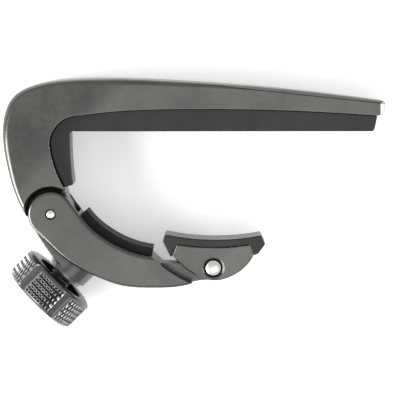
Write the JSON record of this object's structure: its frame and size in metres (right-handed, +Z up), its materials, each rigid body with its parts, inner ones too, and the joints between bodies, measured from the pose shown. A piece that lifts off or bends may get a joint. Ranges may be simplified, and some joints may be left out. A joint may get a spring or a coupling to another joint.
{
  "type": "guitar capo",
  "caption": "Clamp-on guitar capo: cast yoke with a rubber string pad, hinged lower arm with a rocking padded saddle, closed by a knurled thumb screw.",
  "frame": {"origin": "centre of the string pad's flat working face, at mid thickness", "axes": "the capo lies on its side: +X from the hinge end to the tip of the string bar, +Y from the neck towards the bar, +Z up through the thickness"},
  "size_m": [0.0811, 0.0536, 0.0176],
  "materials": {
    "gunmetal": "satin",
    "gunmetal_knurled": "knurled satin",
    "gunmetal_steel": "satin",
    "bright_steel": "polished",
    "spring_steel": "plain",
    "bearing_bronze": "plain",
    "nylon": "matte",
    "black_rubber": "matte"
  },
  "bodies": {
    "yoke": {"frame": "gunmetal", "string_pad": "black_rubber", "hinge_bush": "bearing_bronze", "thread_insert": "gunmetal_steel", "return_spring": "spring_steel"},
    "arm": {"lower_arm": "gunmetal", "arm_pad": "black_rubber", "hinge_pin": "bright_steel", "hinge_washer_front": "nylon", "hinge_washer_rear": "nylon", "toggle_bush": "bearing_bronze", "toggle_washer_front": "nylon", "toggle_washer_rear": "nylon"},
    "saddle": {"toggle": "gunmetal", "toggle_pad": "black_rubber", "toggle_pin": "bright_steel"},
    "shoe": {"pressure_foot": "bright_steel", "foot_clip": "spring_steel"},
    "thumb_screw": {"adjusting_stud": "bright_steel", "knob": "gunmetal_knurled", "knob_washer": "bright_steel", "knob_screw": "bright_steel"}
  },
  "joints": [
    {"name": "arm_swing", "type": "hinge", "parent": "yoke", "child": "arm", "pos_m": [-0.0365, -0.0175, 0], "axis": [0, 0, 1], "range_deg": [-10.2, 12.2], "deforming": ["return_spring"]},
    {"name": "toggle_rock", "type": "hinge", "parent": "arm", "child": "saddle", "pos_m": [-0.00195, -0.0292, 0], "axis": [0, 0, 1], "range_deg": [-15, 8]},
    {"name": "screw_advance", "type": "slide", "parent": "yoke", "child": "shoe", "axis": [0.7071, 0.7071, 0], "range_m": [-0.002, 0.0024]},
    {"name": "knob_spin", "type": "hinge", "parent": "shoe", "child": "thumb_screw", "pos_m": [-0.02852, -0.02548, 0], "axis": [0.7071, 0.7071, 0], "range_deg": [-900, 1080]}
  ],
  "couplings": [
    {"joint": "knob_spin", "follows": "screw_advance", "rad_per_m": 7854},
    {"joint": "arm_swing", "follows": "screw_advance", "rad_per_m": 88.653}
  ]
}
